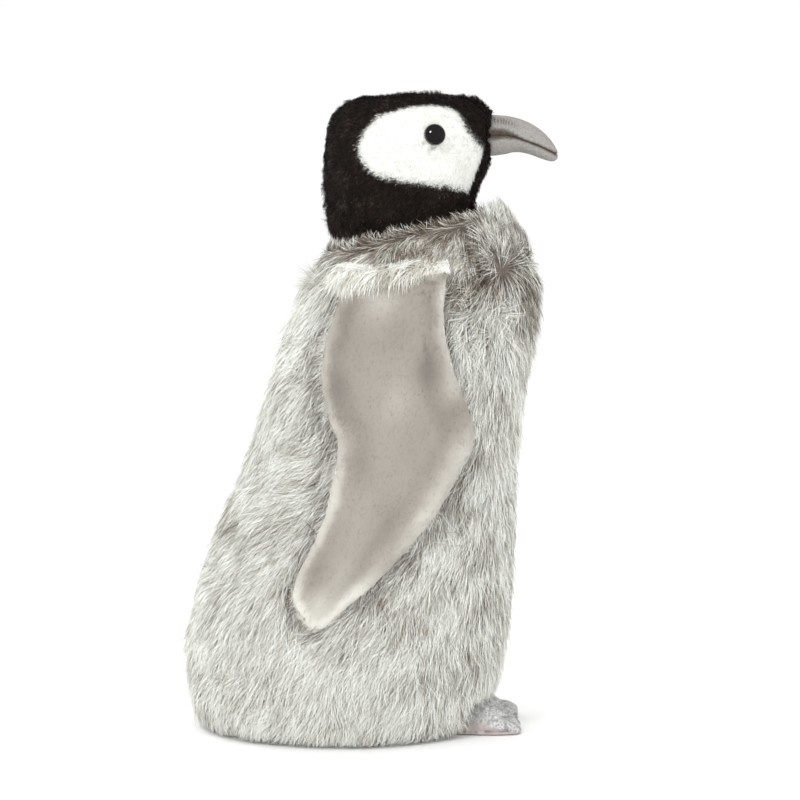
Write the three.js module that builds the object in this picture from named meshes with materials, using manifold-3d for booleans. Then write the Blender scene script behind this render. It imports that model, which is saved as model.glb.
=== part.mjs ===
// A stuffed penguin chick that stands on a flat base, about 36 cm tall.
// The fur body is four sewn panels over a stuffed core and a bag of pellets. The plush head turns and
// nods on a tight ball of stuffing. Two padded flippers hang from the shoulders, and two padded feet
// are sewn to the front of the base seam.
// Millimetres. +X is forwards, where the beak points, +Y is the penguin's left, and +Z is up.
// The origin is on the floor, at the middle of the base.
import * as THREE from "three";
import { mergeVertices } from "three/addons/utils/BufferGeometryUtils.js";
import Module from "manifold-3d";

const wasm = await Module();
wasm.setup();

// ---- Driving dimensions ----

// Between two sewn panels, and between a skin and its stuffing.
const seamGap = 0.4;
const fillGap = 0.5;

// Body: bodyHeight is from the floor to the middle of the neck seam, which leans back by neckTilt.
const bodyHeight = 278;
const bodyDepth = 176;
const bodyWidth = 162;
const furThickness = 6;
const neckForward = 35.5;
const neckTilt = THREE.MathUtils.degToRad(12.8);
const bellyHalfAngle = THREE.MathUtils.degToRad(42);
const backHalfAngle = THREE.MathUtils.degToRad(40);

// Base: a flat cloth disc, and a bag of pellets on it that weighs the penguin down.
const baseThickness = 3;
const pelletBagHeight = 26;
const pelletBagLength = 96;
const pelletBagWidth = 92;

// Head: its length and width at the cheeks, and its height above the neck seam.
const headHeight = 75;
const headLength = 100;
const headWidth = 73;
const headFrontTaper = 0.14;
const plushThickness = 3.6;
const gussetWidth = 26;

// Neck opening: the hood's edge tucks into the collar, clear of it all round.
const hoodEdgeDepth = 76;
const hoodEdgeWidth = 66;
const hoodTuck = 10;
const collarClearance = 5.5;

// Neck: a ball of stuffing under the head, on a stem in the body's core.
const neckPivotDrop = 10;
const neckBallRadius = 22;
const neckStemRadius = 16;
const neckStemLength = 40;
const headFillDrop = 5;
const bodyFillDrop = 25;

// Eyes: a domed button with a shank, held by a washer behind the cloth.
const eyeDiameter = 12;
const eyeDome = 4.2;
const eyeRim = 0.8;
const shankDiameter = 4.4;
const shankClearance = 0.35;
const washerDiameter = 13;
const washerThickness = 1.4;

// Beak: from where it leaves the face to its tip.
const beakLength = 38;
const beakWidth = 22;
const beakCloth = 1.2;

// Flippers: the length is from the shoulder seam to the tip.
const flipperLength = 192.5;
const flipperWidth = 100;
const flipperThickness = 9;
const flipperCloth = 1.6;
const flipperClearance = 1.5;
const flipperLean = THREE.MathUtils.degToRad(5.5);
const shoulderDrop = 20;

// Feet: they lift by footLift before they meet the belly.
const footLength = 38;
const footWidth = 32;
const footHeight = 17;
const footCloth = 1.6;
const footSpacing = 42;
const footReach = 95;
const footClearance = 1;
const footLift = THREE.MathUtils.degToRad(20);

// ---- Materials ----

const cloth = (color, roughness = 0.95) => new THREE.MeshStandardMaterial({ color, roughness, metalness: 0 });
const greyFur = cloth(0xb9b4ad);
const blackPlush = cloth(0x1d1918);
const whitePlush = cloth(0xf2f3ee);
const taupeVelour = cloth(0xa89f99, 0.85);
const beakVelour = cloth(0x9b9490, 0.85);
const scaleCloth = cloth(0x8d8f8e);
const soleCloth = cloth(0xb3aaa8);
const baseCloth = cloth(0x8f8b86);
const stuffing = cloth(0xf4f4f2);
const calico = cloth(0xe4ddcc);
const eyePlastic = new THREE.MeshStandardMaterial({ color: 0x0c0a0a, roughness: 0.06, metalness: 0 });
const washerPlastic = new THREE.MeshStandardMaterial({ color: 0xe8e8e4, roughness: 0.5, metalness: 0 });

// ---- Geometry helpers ----

// Beyond every piece, for cutters.
const far = 3 * (bodyHeight + headHeight);
const vector = (x, y, z) => new THREE.Vector3(x, y, z);

function geometryOf(points, triangles) {
  const geometry = new THREE.BufferGeometry();
  geometry.setAttribute("position", new THREE.Float32BufferAttribute(points.flatMap((p) => [p.x, p.y, p.z]), 3));
  geometry.setIndex(triangles);
  return geometry;
}

// A closed skin over rings of points. Each ring runs anticlockwise about the direction of the loft.
function loft(rings) {
  const count = rings[0].length;
  const points = rings.flat();
  const triangles = [];
  for (let level = 0; level + 1 < rings.length; level++) {
    for (let i = 0; i < count; i++) {
      const a = level * count + i;
      const b = level * count + ((i + 1) % count);
      triangles.push(a, b, b + count, a, b + count, a + count);
    }
  }
  const middle = (ring) => ring.reduce((sum, p) => sum.add(p), vector(0, 0, 0)).divideScalar(count);
  const first = points.push(middle(rings[0])) - 1;
  const last = points.push(middle(rings.at(-1))) - 1;
  const lastRing = (rings.length - 1) * count;
  for (let i = 0; i < count; i++) {
    const next = (i + 1) % count;
    triangles.push(first, next, i, last, lastRing + i, lastRing + next);
  }
  return solid(geometryOf(points, triangles));
}

// A closed slab: at(u, v, depth) gives its outer face at depth 0 and its inner face at depth 1.
function slab(at, across, up) {
  const points = [];
  for (const depth of [0, 1]) {
    for (let j = 0; j <= up; j++) {
      for (let i = 0; i <= across; i++) points.push(at(i / across, j / up, depth));
    }
  }
  const row = across + 1;
  const layer = row * (up + 1);
  const triangles = [];
  const quad = (a, b, c, d) => triangles.push(a, b, c, a, c, d);
  for (let j = 0; j < up; j++) {
    for (let i = 0; i < across; i++) {
      const a = j * row + i;
      quad(a, a + 1, a + row + 1, a + row);
      quad(layer + a, layer + a + row, layer + a + row + 1, layer + a + 1);
    }
    const left = j * row;
    const right = left + across;
    quad(left, left + row, left + row + layer, left + layer);
    quad(right, right + layer, right + row + layer, right + row);
  }
  for (let i = 0; i < across; i++) {
    const top = up * row + i;
    quad(i, i + layer, i + 1 + layer, i + 1);
    quad(top, top + 1, top + 1 + layer, top + layer);
  }
  return solid(geometryOf(points, triangles));
}

function solid(geometry) {
  const bare = geometry.clone();
  bare.deleteAttribute("normal");
  bare.deleteAttribute("uv");
  const merged = mergeVertices(bare, 1e-4);
  const mesh = new wasm.Mesh({
    numProp: 3,
    vertProperties: new Float32Array(merged.getAttribute("position").array),
    triVerts: new Uint32Array(merged.index.array),
  });
  return new wasm.Manifold(mesh);
}

function geometryFrom(manifold) {
  const { vertProperties, triVerts, numProp } = manifold.getMesh();
  const points = [];
  for (let i = 0; i < vertProperties.length; i += numProp) {
    points.push(vector(vertProperties[i], vertProperties[i + 1], vertProperties[i + 2]));
  }
  return geometryOf(points, [...triVerts]);
}

// The same body on the penguin's other side.
function mirrored(manifold) {
  const geometry = geometryFrom(manifold).scale(1, -1, 1);
  const index = [...geometry.index.array];
  for (let i = 0; i < index.length; i += 3) [index[i + 1], index[i + 2]] = [index[i + 2], index[i + 1]];
  return solid(geometry.setIndex(index));
}

// A box between two corners.
function box(low, high) {
  const size = high.clone().sub(low);
  const middle = high.clone().add(low).multiplyScalar(0.5);
  return solid(new THREE.BoxGeometry(size.x, size.y, size.z).translate(middle.x, middle.y, middle.z));
}

// ---- Profiles: smooth front and back lines in the middle plane, with a half width carried along ----

function profile(stations) {
  const front = new THREE.CatmullRomCurve3(stations.map((s) => vector(s.front[0], s.half, s.front[1])));
  const back = new THREE.CatmullRomCurve3(stations.map((s) => vector(s.back[0], s.half, s.back[1])));
  return { front, back };
}

// The point on a profile's ring at share t, at an angle from straight ahead and inset from the surface.
function ringPoint(shape, t, angle, inset, taper = 0) {
  const front = shape.front.getPoint(t);
  const back = shape.back.getPoint(t);
  const ahead = vector((front.x - back.x) / 2, 0, (front.z - back.z) / 2);
  const reach = ahead.length();
  ahead.multiplyScalar((Math.max(reach - inset, 0.5) / reach) * Math.cos(angle));
  const side = Math.max(front.y - inset, 0.5) * (1 - taper * Math.cos(angle)) * Math.sin(angle);
  return vector((front.x + back.x) / 2 + ahead.x, side, (front.z + back.z) / 2 + ahead.z);
}

const ringSides = 32;

function ring(shape, t, inset, taper) {
  const angles = Array.from({ length: ringSides }, (_, i) => (i / ringSides) * 2 * Math.PI);
  return angles.map((angle) => ringPoint(shape, t, angle, inset, taper));
}

const shares = (count) => Array.from({ length: count + 1 }, (_, i) => i / count);

// ---- Neck seam: an oval in a plane that leans back ----

const neckMiddle = vector(neckForward, 0, bodyHeight);
const neckAhead = vector(Math.cos(neckTilt), 0, Math.sin(neckTilt));

function neckStation(depth, width, drop) {
  const front = neckMiddle.clone().addScaledVector(neckAhead, depth / 2);
  const back = neckMiddle.clone().addScaledVector(neckAhead, -depth / 2);
  return { front: [front.x, front.z - drop], back: [back.x, back.z - drop], half: width / 2 };
}

// Everything above the neck seam's plane lowered by a drop, or everything below it.
function pastNeckPlane(drop, above) {
  const block = new THREE.BoxGeometry(far, far, far).translate(0, 0, (above ? far : -far) / 2 - drop);
  return solid(block.rotateY(-neckTilt).translate(neckMiddle.x, 0, neckMiddle.z));
}

// ---- Body ----

// Rows rise from the floor to the shoulders. Each gives the front and the back point as percent of half the
// depth and of the height, then percent of half the width.
const bodyRows = [
  [70, 0, -80, 0, 78],
  [87, 3, -95, 3, 94],
  [96, 14.5, -101, 14.5, 100],
  [102, 32.5, -90, 32.5, 98],
  [103, 54, -65, 52, 92],
  [111, 73.5, -47, 70, 84],
  [116, 87.5, -33, 84, 78],
  [109, 97, -22, 91.5, 70],
];
const collarRoom = 2 * (collarClearance + furThickness);
const bodyShape = profile([
  ...bodyRows.map(([frontX, frontZ, backX, backZ, width]) => ({
    front: [(frontX / 200) * bodyDepth, (frontZ / 100) * bodyHeight],
    back: [(backX / 200) * bodyDepth, (backZ / 100) * bodyHeight],
    half: (width / 200) * bodyWidth,
  })),
  neckStation(hoodEdgeDepth + collarRoom, hoodEdgeWidth + collarRoom, 0),
]);
const bodyRings = 14;

// A fur panel from one seam round to the next, and from the base seam up to the neck seam.
function furPanel(fromAngle, toAngle, across) {
  const at = (u, t, depth) => {
    const halfGap = seamGap / 2 / (bodyShape.front.getPoint(t).y - furThickness);
    const angle = THREE.MathUtils.lerp(fromAngle + halfGap, toAngle - halfGap, u);
    return ringPoint(bodyShape, t, angle, depth * furThickness);
  };
  return slab(at, across, bodyRings);
}

function bodyCore() {
  const core = loft(shares(bodyRings).map((t) => ring(bodyShape, t, furThickness + fillGap)));
  const underCore = box(vector(-far, -far, -far), vector(far, far, baseThickness + fillGap));
  return core.subtract(pastNeckPlane(bodyFillDrop, true)).subtract(underCore);
}

function basePanel() {
  const edge = ring(bodyShape, 0, furThickness + seamGap);
  return loft([0, baseThickness].map((z) => edge.map((p) => vector(p.x, p.y, z))));
}

// An oval pouch lying flat on the base, with rounded edges.
function pelletBag(grow) {
  const bottom = baseThickness + fillGap;
  const levels = [[0, 0.86], [0.3, 1], [0.7, 1], [1, 0.86]];
  return loft(levels.map(([share, spread]) => Array.from({ length: 24 }, (_, i) => {
    const angle = (i / 24) * 2 * Math.PI;
    const x = ((pelletBagLength / 2) * spread + grow) * Math.cos(angle);
    const y = ((pelletBagWidth / 2) * spread + grow) * Math.sin(angle);
    return vector(x, y, THREE.MathUtils.lerp(bottom - grow, bottom + pelletBagHeight + grow, share));
  })));
}

// ---- Neck ball ----

const neckPivot = vector(neckForward, 0, bodyHeight - neckPivotDrop);

function neckBall(grow) {
  const ball = new THREE.SphereGeometry(neckBallRadius + grow, 24, 12).rotateX(Math.PI / 2);
  const stemRadius = neckStemRadius + grow;
  const stemLength = neckStemLength + grow;
  const stem = new THREE.CylinderGeometry(stemRadius, stemRadius, stemLength, 24).rotateX(Math.PI / 2);
  const placed = solid(stem.translate(neckPivot.x, 0, neckPivot.z - stemLength / 2));
  return solid(ball.translate(neckPivot.x, 0, neckPivot.z)).add(placed);
}

// ---- Head ----

// A point in the middle plane, in percent of half the head's length and of its height from the neck seam.
const headPoint = (percentX, percentZ) => [
  neckMiddle.x + (percentX / 200) * headLength,
  neckMiddle.z + (percentZ / 100) * headHeight,
];

// Rows rise from the neck to the crown: the front point, the back point, and percent of half the width.
const headRows = [
  [71, 18.5, -93, 4, 96],
  [79, 34.5, -101, 24, 99],
  [89, 50.5, -102, 45, 100],
  [95, 69, -100, 66.5, 96],
  [91, 84, -91, 85, 85],
  [77, 93.5, -67, 94.5, 66],
  [49, 98.5, -35, 98.5, 33],
  [20, 100, -8, 100, 12],
];
const headShape = profile([
  neckStation(hoodEdgeDepth, hoodEdgeWidth, hoodTuck),
  neckStation(hoodEdgeDepth, hoodEdgeWidth, 0),
  ...headRows.map(([frontX, frontZ, backX, backZ, width]) => ({
    front: headPoint(frontX, frontZ),
    back: headPoint(backX, backZ),
    half: (width / 200) * headWidth,
  })),
]);

// The head's form inset from its surface; below the neck opening it can carry on straight down.
function headForm(inset, below = 0) {
  const crown = neckMiddle.z + headHeight - inset;
  const rings = shares(18).map((t) => ring(headShape, t, inset, headFrontTaper));
  const capped = rings.map((points) => points.map((p) => vector(p.x, p.y, Math.min(p.z, crown))));
  const lowest = capped[0].map((p) => vector(p.x, p.y, p.z - below));
  return loft(below ? [lowest, ...capped] : capped);
}

const headOuter = headForm(0);
const headShell = headOuter.subtract(headForm(plushThickness, hoodTuck));

// The white cheek's outline from the side, as head points.
const cheekOutline = [
  [0, 88.5],
  [20, 89.5],
  [38, 88],
  [49, 83.5],
  [55, 76.5],
  [61, 70],
  [74, 61],
  [86, 51],
  [96, 41],
  [96, 31],
  [84, 25],
  [66, 26.5],
  [46, 30],
  [20, 33],
  [-8, 35.5],
  [-33, 38.5],
  [-49, 44.5],
  [-58, 53.5],
  [-58.5, 62],
  [-53, 71],
  [-43, 78.5],
  [-25, 85],
];

// A bar across the head in the cheek's outline, grown by a gap.
function cheekBar(grow) {
  const corners = cheekOutline.map(([x, z]) => new THREE.Vector2(...headPoint(x, z)));
  const middle = new THREE.Box2().setFromPoints(corners).getCenter(new THREE.Vector2());
  const grown = corners.map((p) => p.clone().add(p.clone().sub(middle).setLength(grow)));
  const outline = new THREE.SplineCurve([...grown, grown[0]]).getPoints(42);
  const bar = new THREE.ExtrudeGeometry(new THREE.Shape(outline), { depth: 2 * headWidth, bevelEnabled: false });
  return solid(bar.rotateX(Math.PI / 2).translate(0, headWidth, 0));
}

// The gusset runs over the crown from the throat to the nape, and widens to the whole forehead.
const gussetEdge = gussetWidth / 2;
const [foreheadX, foreheadZ] = headPoint(16, 46);
const forehead = (gap) => box(vector(foreheadX - gap, -far, foreheadZ - gap), vector(far, far, far));
const leftOfGusset = box(vector(-far, gussetEdge + seamGap, -far), vector(far, far, far));

function headGusset() {
  const strip = box(vector(-far, -gussetEdge, -far), vector(far, gussetEdge, far));
  const wide = forehead(0).subtract(cheekBar(seamGap));
  return headShell.intersect(strip.add(wide));
}

const leftCheek = () => headShell.intersect(cheekBar(0)).intersect(leftOfGusset);

const leftHoodSide = () => headShell.intersect(leftOfGusset)
  .subtract(cheekBar(seamGap))
  .subtract(forehead(seamGap));

// ---- Eyes ----

const washerDepth = plushThickness + 1.6;
const shankLength = washerDepth + washerThickness + 2.5;

// The left eye's place on the cheek, and the way it faces.
function findEyeSeat() {
  const [x, z] = headPoint(22, 68.5);
  const skin = new THREE.Mesh(geometryFrom(headOuter), new THREE.MeshBasicMaterial());
  const hit = new THREE.Raycaster(vector(x, far, z), vector(0, -1, 0)).intersectObject(skin)[0];
  const turn = new THREE.Quaternion().setFromUnitVectors(vector(0, 1, 0), hit.face.normal);
  return { point: hit.point, turn };
}

const eyeSeat = findEyeSeat();

// Eye pieces are turned about the Y axis with the cheek's surface at 0, then seated.
const seated = (geometry) => solid(
  geometry.applyQuaternion(eyeSeat.turn).translate(eyeSeat.point.x, eyeSeat.point.y, eyeSeat.point.z),
);
const latheOf = (points, sides) => new THREE.LatheGeometry(points.map((p) => new THREE.Vector2(...p)), sides);

function eyeButton() {
  const radius = eyeDiameter / 2;
  const lift = 0.3;
  const dome = shares(6).slice(0, -1).map((share) => {
    const angle = (share * Math.PI) / 2;
    return [radius * Math.cos(angle), lift + eyeRim + eyeDome * Math.sin(angle)];
  });
  const shank = shankDiameter / 2;
  const points = [
    [0, -shankLength],
    [shank, -shankLength],
    [shank, lift],
    [radius, lift],
    ...dome,
    [0, lift + eyeRim + eyeDome],
  ];
  return seated(latheOf(points, 24));
}

function eyeWasher() {
  const hole = shankDiameter / 2 + shankClearance;
  const rim = washerDiameter / 2;
  const under = -washerDepth - washerThickness;
  const points = [[hole, under], [rim, under], [rim, -washerDepth], [hole, -washerDepth], [hole, under]];
  return seated(latheOf(points, 24));
}

function eyeCutter(radius) {
  const depth = shankLength + fillGap;
  const length = depth + eyeDome;
  return seated(new THREE.CylinderGeometry(radius, radius, length, 24).translate(0, length / 2 - depth, 0));
}

const shankHole = eyeCutter(shankDiameter / 2 + shankClearance);
const washerPocket = eyeCutter(washerDiameter / 2 + fillGap);

// ---- Beak ----

// Rows run from inside the face to the tip: percent of the beak's length, then the ridge, the mouth line and
// the underside as percent of the head's height from the neck seam, then percent of half the width.
const beakRows = [
  [-10, 83, 67, 52.5, 100],
  [21, 82.5, 68.5, 54, 95],
  [39, 81, 66.5, 56, 87],
  [58, 77.5, 63, 54.5, 76],
  [74, 72.5, 60, 51.5, 62],
  [86, 67, 57, 49.5, 49],
  [95, 61, 55, 49, 35],
  [100, 56, 53.5, 51, 20],
];
const beakCurve = (column) => new THREE.CatmullRomCurve3(beakRows.map((row) => {
  const [faceX] = headPoint(83, 0);
  const [, z] = headPoint(0, row[column]);
  return vector(faceX + (row[0] / 100) * beakLength, (row[4] / 200) * beakWidth, z);
}));
const [ridge, mouth, underside] = [1, 2, 3].map(beakCurve);
const beakSides = 20;

// The beak's form inset from its surface, with its root carried back into the face.
function beakForm(inset, rootBack) {
  return loft(shares(12).map((t) => {
    const lip = mouth.getPoint(t);
    const x = lip.x - (t === 0 ? rootBack : 0) - t * inset;
    const above = Math.max(ridge.getPoint(t).z - lip.z - inset, 0.4);
    const below = Math.max(lip.z - underside.getPoint(t).z - inset, 0.4);
    return Array.from({ length: beakSides }, (_, i) => {
      const angle = (i / beakSides) * 2 * Math.PI;
      const rise = Math.sin(angle) * (Math.sin(angle) > 0 ? above : below);
      return vector(x, Math.max(lip.y - inset, 0.4) * Math.cos(angle), lip.z + rise);
    });
  }));
}

// Everything on one side of the mouth line: side is 1 above it and -1 below it.
function besideMouth(side) {
  return loft(shares(12).map((t) => {
    const lip = mouth.getPoint(t);
    const x = lip.x + (t === 0 ? -far : 0) + (t === 1 ? far : 0);
    const near = lip.z + (side * seamGap) / 2;
    const [low, high] = side > 0 ? [near, near + far] : [near - far, near];
    return [[far, low], [far, high], [-far, high], [-far, low]].map(([y, z]) => vector(x, y, z));
  }));
}

const beakShell = beakForm(0, 0).subtract(beakForm(beakCloth, 2));
const beakPocket = beakForm(-fillGap, fillGap);

// ---- Flippers ----

// Rows rise from the tip to the shoulder seam: percent of the length, then the back and the front edge as
// percent of the width forwards of the base's middle, then percent of half the thickness.
const flipperRows = [
  [0, -20, -14, 30],
  [2, -24, -7, 50],
  [4.5, -28, -2, 65],
  [9, -31, 8, 80],
  [14.5, -28.5, 20, 90],
  [22, -21, 33.5, 96],
  [31, -14, 48, 100],
  [39.5, -10.5, 57.5, 100],
  [48.5, -7.2, 67, 100],
  [53, -7.2, 69, 100],
  [57, -10.5, 69.2, 100],
  [63, -14, 65.2, 100],
  [71.5, -16, 59, 100],
  [81.5, -13.2, 54, 98],
  [90, -7.5, 53, 95],
  [96, -2.2, 54.2, 88],
  [98.6, 1.5, 55, 62],
  [100, 4, 54.5, 30],
];
const shoulderZ = bodyHeight - shoulderDrop;
const halfThick = flipperThickness / 2;

// The share of the body's profile at a height, found by halving.
function bodyShareAt(height) {
  let [low, high] = [0, 1];
  for (let step = 0; step < 24; step++) {
    const middle = (low + high) / 2;
    const z = (bodyShape.front.getPoint(middle).z + bodyShape.back.getPoint(middle).z) / 2;
    if (z < height) low = middle;
    else high = middle;
  }
  return low;
}

// The flipper turns at its rounded shoulder seam, far enough out for its lean to clear the whole flank.
const flankAt = (height) => bodyShape.front.getPoint(bodyShareAt(height)).y + flipperClearance;
const hingeZ = shoulderZ - halfThick;
const hingeY = halfThick / Math.cos(flipperLean) + Math.max(...shares(20).map((share) => {
  const drop = share * flipperLength;
  return flankAt(hingeZ - drop) - drop * Math.tan(flipperLean);
}));

function flipperForm(inset) {
  const rings = flipperRows.map(([along, back, front, thick]) => {
    const z = shoulderZ - flipperLength + (along / 100) * flipperLength + inset * (1 - along / 50);
    const middle = ((back + front) / 200) * flipperWidth;
    const half = Math.max(((front - back) / 200) * flipperWidth - inset, 0.6);
    const deep = Math.max((thick / 100) * halfThick - inset, 0.4);
    return Array.from({ length: 18 }, (_, i) => {
      const angle = (i / 18) * 2 * Math.PI;
      const flat = Math.sign(Math.sin(angle)) * Math.abs(Math.sin(angle)) ** 0.7;
      return vector(middle + half * Math.cos(angle), deep * flat, z - hingeZ);
    });
  });
  return loft(rings);
}

const hung = (manifold) => solid(
  geometryFrom(manifold).rotateX(flipperLean).translate(0, hingeY, hingeZ),
);
const flipperShell = flipperForm(0).subtract(flipperForm(flipperCloth));
const outerHalf = box(vector(-far, seamGap / 2, -far), vector(far, far, far));
const innerHalf = box(vector(-far, -far, -far), vector(far, -seamGap / 2, far));

// ---- Feet ----

// Rows run from the heel to the toes: percent of the length, of half the width and of the height, and how far
// the two grooves between the toes have formed.
const footRows = [
  [0, 74, 58, 0],
  [8, 82, 76, 0],
  [24, 90, 95, 0],
  [40, 96, 100, 0],
  [60, 100, 84, 0.4],
  [75, 96, 53, 1],
  [88, 90, 48, 1],
  [97, 76, 32, 1],
  [100, 60, 20, 1],
];
const toeGroove = 0.2;
const footSides = 18;
const heelX = footReach - footLength;
const footY = footSpacing / 2;
const footHinge = vector(heelX + 2, footY, footCloth);

function footForm(inset) {
  return loft(footRows.map(([along, wide, tall, grooved]) => {
    const end = inset * (1 - along / 50);
    const half = (wide / 200) * footWidth - inset;
    const top = Math.max((tall / 100) * footHeight - inset, 0.3);
    return Array.from({ length: footSides + 1 }, (_, i) => {
      const angle = (i / footSides) * Math.PI;
      const between = i === 7 || i === 11 ? grooved : 0;
      const z = top * Math.sin(angle) ** 0.7 * (1 - toeGroove * between);
      const x = heelX + (along / 100) * footLength + end - 2 * between * (along / 100);
      return vector(x, footY + half * Math.cos(angle), z);
    });
  }));
}

const aboveSole = (gap) => box(vector(-far, -far, footCloth + gap), vector(far, far, far));

// Room in the belly for the foot as it lifts.
function footRoom() {
  const tops = footRows.map(([along, , tall]) => {
    const x = heelX + (along / 100) * footLength - footHinge.x;
    return footHinge.z + x * Math.sin(footLift) + ((tall / 100) * footHeight - footHinge.z) * Math.cos(footLift);
  });
  const half = footWidth / 2 + footClearance;
  const heelSwing = (footRows[0][2] / 100) * footHeight * Math.sin(footLift);
  const low = vector(heelX - heelSwing - footClearance, footY - half, -far);
  return box(low, vector(far, footY + half, Math.max(...tops) + footClearance));
}

// ---- The whole penguin ----

const root = new THREE.Group();

function add(name, manifold, material) {
  const mesh = new THREE.Mesh(geometryFrom(manifold), material);
  mesh.name = name;
  root.add(mesh);
}

function addPair(name, manifold, material) {
  add(`left_${name}`, manifold, material);
  add(`right_${name}`, mirrored(manifold), material);
}

const bothFootRooms = footRoom().add(mirrored(footRoom()));
const belly = furPanel(-bellyHalfAngle, bellyHalfAngle, 10).subtract(bothFootRooms);
const side = furPanel(bellyHalfAngle, Math.PI - backHalfAngle, 9).subtract(bothFootRooms);
add("body_belly_panel", belly, greyFur);
addPair("body_side_panel", side, greyFur);
add("body_back_panel", furPanel(Math.PI - backHalfAngle, Math.PI + backHalfAngle, 8), greyFur);
add("base_panel", basePanel().subtract(bothFootRooms), baseCloth);
const core = bodyCore().subtract(neckBall(fillGap)).subtract(pelletBag(fillGap)).subtract(bothFootRooms);
add("body_filling", core, stuffing);
add("pellet_bag", pelletBag(0), calico);

add("neck_filling", neckBall(0), stuffing);

add("head_gusset", headGusset().subtract(beakPocket), blackPlush);
addPair("hood_side", leftHoodSide(), blackPlush);
addPair("cheek_patch", leftCheek().subtract(shankHole), whitePlush);
const headStuffing = headForm(plushThickness + fillGap)
  .subtract(pastNeckPlane(headFillDrop, false))
  .subtract(neckBall(fillGap))
  .subtract(beakPocket)
  .subtract(washerPocket.add(mirrored(washerPocket)));
add("head_filling", headStuffing, stuffing);
addPair("eye", eyeButton(), eyePlastic);
addPair("eye_washer", eyeWasher(), washerPlastic);
add("upper_beak", beakShell.intersect(besideMouth(1)), beakVelour);
add("lower_beak", beakShell.intersect(besideMouth(-1)), beakVelour);
add("beak_filling", beakForm(beakCloth + fillGap, 0), stuffing);

addPair("flipper_outer_panel", hung(flipperShell.intersect(outerHalf)), taupeVelour);
addPair("flipper_inner_panel", hung(flipperShell.intersect(innerHalf)), greyFur);
addPair("flipper_padding", hung(flipperForm(flipperCloth + fillGap)), stuffing);

const footTop = footForm(0).subtract(footForm(footCloth)).intersect(aboveSole(seamGap));
addPair("foot_top", footTop, scaleCloth);
addPair("foot_sole", footForm(0).subtract(aboveSole(0)), soleCloth);
addPair("foot_filling", footForm(footCloth + fillGap).intersect(aboveSole(fillGap)), stuffing);

export default root;
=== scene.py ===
import math

import bmesh
import bpy
import numpy as np
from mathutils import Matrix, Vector
from mathutils.bvhtree import BVHTree
from mathutils.kdtree import KDTree


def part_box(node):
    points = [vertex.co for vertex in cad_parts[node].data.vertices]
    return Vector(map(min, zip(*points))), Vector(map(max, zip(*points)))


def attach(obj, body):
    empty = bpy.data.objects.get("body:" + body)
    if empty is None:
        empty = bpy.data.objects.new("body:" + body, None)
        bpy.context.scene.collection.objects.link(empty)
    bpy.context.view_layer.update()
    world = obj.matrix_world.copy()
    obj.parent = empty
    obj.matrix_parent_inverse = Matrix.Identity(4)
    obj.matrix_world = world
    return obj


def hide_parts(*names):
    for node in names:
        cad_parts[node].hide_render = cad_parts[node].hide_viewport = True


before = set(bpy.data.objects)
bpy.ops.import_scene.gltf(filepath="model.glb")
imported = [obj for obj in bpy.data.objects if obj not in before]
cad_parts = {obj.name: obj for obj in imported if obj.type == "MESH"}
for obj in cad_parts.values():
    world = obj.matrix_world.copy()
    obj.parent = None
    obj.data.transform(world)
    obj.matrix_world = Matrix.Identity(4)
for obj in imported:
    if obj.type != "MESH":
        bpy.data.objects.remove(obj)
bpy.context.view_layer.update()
bpy.ops.object.select_all(action="DESELECT")


# ---------------------------------------------------------------- Room
# A white sweep under soft light, and a long lens low down at the penguin's right side.
# The world's white light wraps round the fur from behind, and soft boxes shape it.
# Glossy things see a dimmer room, which keeps the eyes black.
room_middle = Vector((0.0279, 0.0, 0.1821))
camera_distance = 1.8
camera_lift = math.radians(5)
picture_width = 0.4456
sensor_width = 36
camera_way = Vector((0, -math.cos(camera_lift), math.sin(camera_lift)))
bpy.ops.object.camera_add(
    location=room_middle + camera_distance * camera_way,
    rotation=(math.pi / 2 - camera_lift, 0, 0),
)
camera = bpy.context.object
camera.data.lens = sensor_width * camera_distance / picture_width
bpy.context.scene.camera = camera

bpy.ops.mesh.primitive_plane_add(size=80, location=(0, 0, -0.0004))
floor = bpy.context.object
floor.name = "floor"
floor_white = bpy.data.materials.new("floor_white")
floor_white.use_nodes = True
floor_surface = floor_white.node_tree.nodes["Principled BSDF"]
floor_surface.inputs["Base Color"].default_value = (0.99, 0.99, 0.99, 1)
floor_surface.inputs["Roughness"].default_value = 0.9
floor_surface.inputs["Specular IOR Level"].default_value = 0
floor.data.materials.append(floor_white)
floor.visible_glossy = False

world = bpy.data.worlds.new("white_room")
bpy.context.scene.world = world
world.use_nodes = True
room_light, dimmed_by = 1.03, 0.85
nodes, links = world.node_tree.nodes, world.node_tree.links
background = nodes["Background"]
background.inputs["Color"].default_value = (1, 1, 1, 1)
ray = nodes.new("ShaderNodeLightPath")
dimmer = nodes.new("ShaderNodeMath")
dimmer.operation = "MULTIPLY_ADD"
dimmer.inputs[1].default_value = -dimmed_by
dimmer.inputs[2].default_value = room_light
links.new(ray.outputs["Is Glossy Ray"], dimmer.inputs[0])
links.new(dimmer.outputs["Value"], background.inputs["Strength"])
bpy.context.scene.view_settings.view_transform = "Standard"


def soft_box(name, place, aim, size, watts):
    """A square area light of this size in metres, turned towards a point."""
    bpy.ops.object.light_add(type="AREA", location=place)
    light = bpy.context.object
    light.name = name
    light.data.shape = "SQUARE"
    light.data.size = size
    light.data.energy = watts
    light.rotation_euler = (Vector(aim) - Vector(place)).to_track_quat("-Z", "Y").to_euler()


soft_box("key_box", (-0.8, -1.7, 1.6), (0, 0, 0.2), 0.42, 13)
soft_box("fill_box", (0.6, -2.4, 0.9), (0, 0, 0.18), 1.6, 14)
soft_box("rim_box", (-1.3, 1.3, 1.3), (0, 0, 0.2), 0.9, 10)
bpy.data.objects["fill_box"].visible_glossy = False


# ---------------------------------------------------------------- Body skin
# The body is a stuffed sack of fur cloth: four panels sewn edge to edge round one core.
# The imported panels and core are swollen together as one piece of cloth, and the pile grows from it.


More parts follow.
